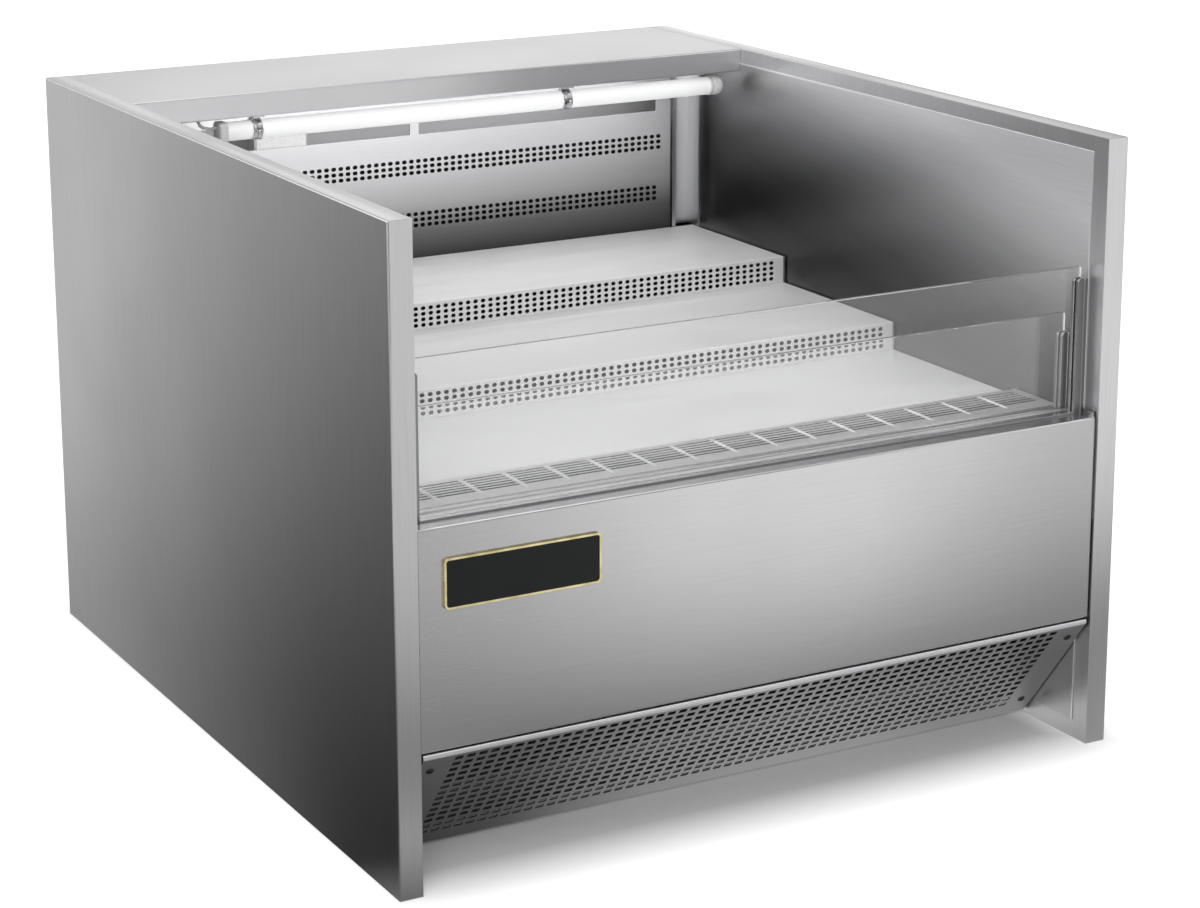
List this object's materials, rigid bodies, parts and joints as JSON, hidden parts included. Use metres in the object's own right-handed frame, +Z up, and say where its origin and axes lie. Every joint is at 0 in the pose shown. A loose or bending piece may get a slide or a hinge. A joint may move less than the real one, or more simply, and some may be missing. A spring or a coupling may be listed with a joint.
{
  "type": "open multideck display fridge",
  "caption": "Half-height stainless display fridge with stepped shelves, sight glass strips, a lamp under the canopy and a perforated kick grille.",
  "frame": {"origin": "middle of the footprint, on the floor", "axes": "+Z up, -Y towards the shopper (open front), +X to the shopper's right"},
  "size_m": [1, 1.11, 0.785],
  "materials": {
    "outer_steel": "vertical brushed grain",
    "liner_steel": "horizontal brushed grain",
    "deck_steel": "horizontal brushed grain",
    "front_steel": "horizontal brushed grain",
    "ledge_steel": "horizontal brushed grain",
    "shelf_steel": "satin, fine grain",
    "grille_steel": "satin, fine grain",
    "foam": "polyurethane foam",
    "galvanised": "galvanised sheet, dull",
    "chrome": "polished",
    "clear_glass": "clear, polished edges",
    "lamp_glass": "opal diffuser",
    "white_plastic": "smooth",
    "lead_sheath": "soft sheath",
    "black_plastic": "fine texture",
    "plate_black": "gloss",
    "gold_rim": "polished",
    "kick_grey": "satin grey paint",
    "screw_black": "blackened",
    "frame_grey": "satin paint",
    "foot_black": "moulded nylon",
    "fin_aluminium": "mill finish",
    "condenser_black": "black coated fins",
    "motor_black": "satin enamel",
    "grommet_rubber": "matt",
    "copper": "bright copper tube",
    "box_grey": "powder coat"
  },
  "bodies": {
    "cabinet": {"base_frame": "frame_grey", "base_pan": "galvanised", "compressor": "motor_black", "compressor_grommets": "grommet_rubber", "condensate_tray": "black_plastic", "condenser": "condenser_black", "condenser_motor": "motor_black", "condenser_shroud": "galvanised", "control_box": "box_grey", "corner_post_left": "liner_steel", "corner_post_right": "liner_steel", "duct_panel": "shelf_steel", "evap_motors": "motor_black", "evaporator": "fin_aluminium", "fan_plate": "galvanised", "front_ledge": "ledge_steel", "front_panel": "front_steel", "glass_posts_short": "chrome", "glass_posts_tall": "chrome", "glass_rails": "chrome", "inlet_gland": "black_plastic", "kick_brackets": "galvanised", "kick_grille": "kick_grey", "kick_screws": "screw_black", "lamp_clips": "chrome", "lamp_driver": "white_plastic", "lamp_end_caps": "white_plastic", "lamp_lead": "lead_sheath", "lamp_tube": "lamp_glass", "name_plate": "plate_black", "name_plate_rim": "gold_rim", "rear_core": "foam", "rear_liner": "liner_steel", "rear_panel": "outer_steel", "rear_service_panel": "outer_steel", "refrigerant_pipes": "copper", "shelf_bracket_left": "galvanised", "shelf_bracket_right": "galvanised", "side_core_left": "foam", "side_core_right": "foam", "side_liner_left": "liner_steel", "side_liner_right": "liner_steel", "side_panel_left": "outer_steel", "side_panel_right": "outer_steel", "top_deck": "deck_steel", "tub_core": "foam", "tub_liner": "liner_steel"},
    "condenser_fan": {"condenser_fan": "black_plastic"},
    "evap_fan_left": {"evap_fan_left": "black_plastic"},
    "evap_fan_right": {"evap_fan_right": "black_plastic"},
    "glass_front": {"glass_front": "clear_glass"},
    "glass_rear": {"glass_rear": "clear_glass"},
    "bottom_deck": {"bottom_deck": "shelf_steel"},
    "step_middle": {"step_middle": "shelf_steel"},
    "step_top": {"step_top": "shelf_steel"},
    "return_grille": {"return_grille": "grille_steel"},
    "levelling_foot_front_left": {"levelling_foot_front_left": "foot_black"},
    "levelling_foot_front_right": {"levelling_foot_front_right": "foot_black"},
    "levelling_foot_rear_left": {"levelling_foot_rear_left": "foot_black"},
    "levelling_foot_rear_right": {"levelling_foot_rear_right": "foot_black"}
  },
  "joints": [
    {"name": "condenser_fan_spin", "type": "hinge", "parent": "cabinet", "child": "condenser_fan", "pos_m": [0.255, -0.262, 0.165], "axis": [0, 1, 0], "continuous": true},
    {"name": "evap_fan_left_spin", "type": "hinge", "parent": "cabinet", "child": "evap_fan_left", "pos_m": [-0.2, 0.101, 0.398], "axis": [0, 1, 0], "continuous": true},
    {"name": "evap_fan_right_spin", "type": "hinge", "parent": "cabinet", "child": "evap_fan_right", "pos_m": [0.2, 0.101, 0.398], "axis": [0, 1, 0], "continuous": true},
    {"name": "glass_front_lift", "type": "slide", "parent": "cabinet", "child": "glass_front", "axis": [0, 0, 1], "range_m": [0, 0.17]},
    {"name": "glass_rear_lift", "type": "slide", "parent": "cabinet", "child": "glass_rear", "axis": [0, 0, 1], "range_m": [0, 0.096]},
    {"name": "bottom_deck_lift", "type": "slide", "parent": "cabinet", "child": "bottom_deck", "axis": [0, 0, 1], "range_m": [0, 0.1]},
    {"name": "step_middle_lift", "type": "slide", "parent": "cabinet", "child": "step_middle", "axis": [0, 0, 1], "range_m": [0, 0.1]},
    {"name": "step_top_lift", "type": "slide", "parent": "cabinet", "child": "step_top", "axis": [0, 0, 1], "range_m": [0, 0.15]},
    {"name": "return_grille_lift", "type": "slide", "parent": "cabinet", "child": "return_grille", "axis": [0, 0, 1], "range_m": [0, 0.1]},
    {"name": "foot_front_left_screw", "type": "slide", "parent": "cabinet", "child": "levelling_foot_front_left", "axis": [0, 0, 1], "range_m": [-0.015, 0.004]},
    {"name": "foot_front_right_screw", "type": "slide", "parent": "cabinet", "child": "levelling_foot_front_right", "axis": [0, 0, 1], "range_m": [-0.015, 0.004]},
    {"name": "foot_rear_left_screw", "type": "slide", "parent": "cabinet", "child": "levelling_foot_rear_left", "axis": [0, 0, 1], "range_m": [-0.015, 0.004]},
    {"name": "foot_rear_right_screw", "type": "slide", "parent": "cabinet", "child": "levelling_foot_rear_right", "axis": [0, 0, 1], "range_m": [-0.015, 0.004]}
  ]
}
